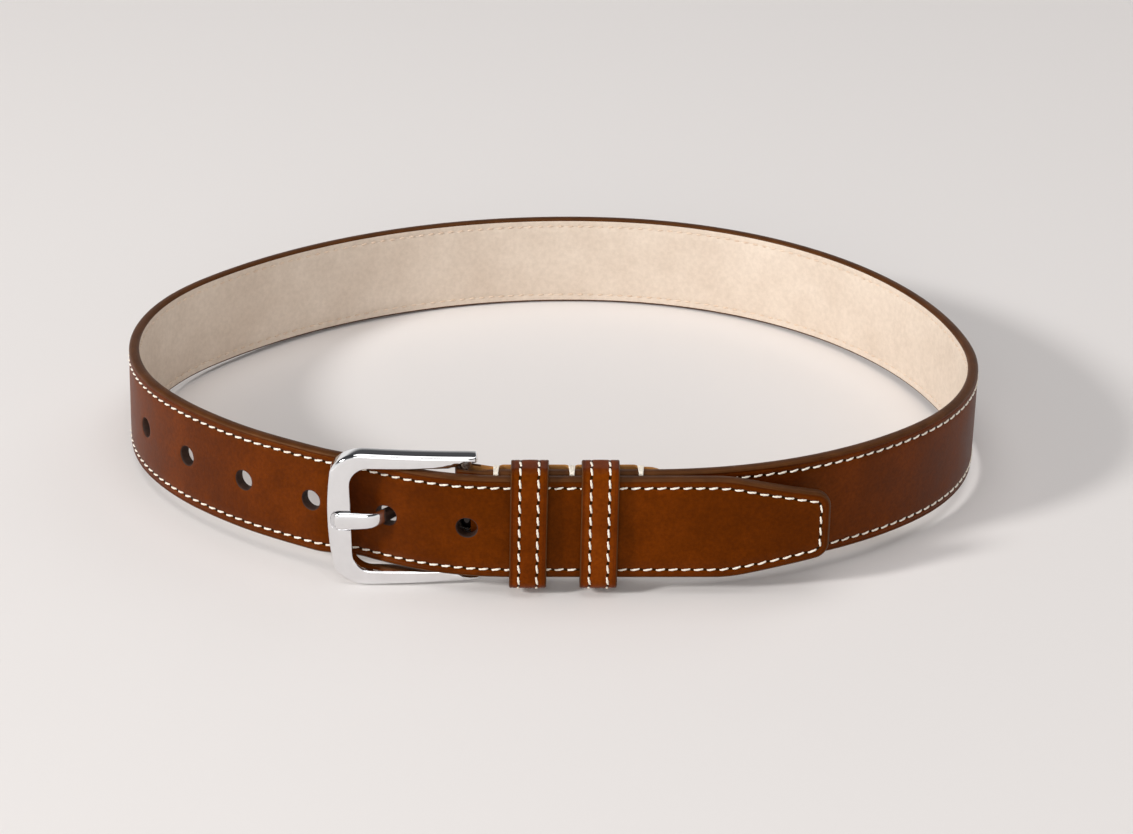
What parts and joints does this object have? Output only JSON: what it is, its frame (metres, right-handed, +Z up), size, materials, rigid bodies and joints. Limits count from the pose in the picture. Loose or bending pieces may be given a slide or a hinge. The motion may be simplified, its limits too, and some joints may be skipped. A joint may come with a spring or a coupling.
{
  "type": "leather belt",
  "caption": "Gentleman's leather dress belt, buckled into a loop and standing on its edge, with a polished frame buckle, prong and two sliding keepers.",
  "frame": {"origin": "middle of the belt's footprint, on the surface that it stands on", "axes": "+X to the wearer's left along the front of the loop, from the buckle towards the tip; +Y from the buckle to the back of the loop; +Z up, across the strap's width"},
  "size_m": [0.267, 0.2068, 0.0425],
  "materials": {
    "strap_outer": "smooth full-grain calf, cognac tan, waxed",
    "strap_core": "pressed leather board, painted at the edge",
    "strap_lining": "natural vegetable-tanned lining, matt",
    "thread": "waxed two-ply thread, off-white",
    "keeper_leather": "smooth full-grain calf, cognac tan, waxed",
    "keeper_lining": "pared leather, natural",
    "buckle_metal": "polished",
    "steel_pin": "drawn steel",
    "staple_wire": "drawn wire"
  },
  "bodies": {
    "strap": {"strap_outer": "strap_outer", "strap_core": "strap_core", "strap_lining": "strap_lining", "strap_stitching_face": "thread", "strap_stitching_lining": "thread", "row_stitch_1": "thread", "row_stitch_2": "thread", "row_stitch_3": "thread"},
    "buckle": {"buckle_frame": "buckle_metal", "buckle_bar": "steel_pin"},
    "prong": {"prong": "buckle_metal"},
    "keeper_1": {"keeper_1_outer": "keeper_leather", "keeper_1_lining": "keeper_lining", "keeper_1_stitching": "thread", "keeper_1_staple": "staple_wire"},
    "keeper_2": {"keeper_2_outer": "keeper_leather", "keeper_2_lining": "keeper_lining", "keeper_2_stitching": "thread", "keeper_2_staple": "staple_wire"},
    "tip": {"tip_outer": "strap_outer", "tip_core": "strap_core", "tip_lining": "strap_lining", "tip_stitching": "thread"}
  },
  "joints": [
    {"name": "buckle_swivel", "type": "hinge", "parent": "strap", "child": "buckle", "pos_m": [-0.02315, -0.0927, 0.02124], "axis": [0, -0.0268, -0.9996], "range_deg": [0, 3.5]},
    {"name": "prong_pivot", "type": "hinge", "parent": "strap", "child": "prong", "pos_m": [-0.02315, -0.0927, 0.02124], "axis": [0, 0.0268, 0.9996], "range_deg": [0, 0.6]},
    {"name": "keeper_1_slide", "type": "slide", "parent": "strap", "child": "keeper_1", "axis": [1, 0, 0], "range_m": [-0.0012, 0.0044]},
    {"name": "keeper_2_slide", "type": "slide", "parent": "strap", "child": "keeper_2", "axis": [1, 0, 0], "range_m": [0, 0.0038]},
    {"name": "tip_lift", "type": "hinge", "parent": "strap", "child": "tip", "pos_m": [0.02647, -0.10075, 0.02145], "axis": [0, -0.0268, -0.9996], "range_deg": [0, 35], "stiffness_Nm_per_rad": 0.03}
  ]
}
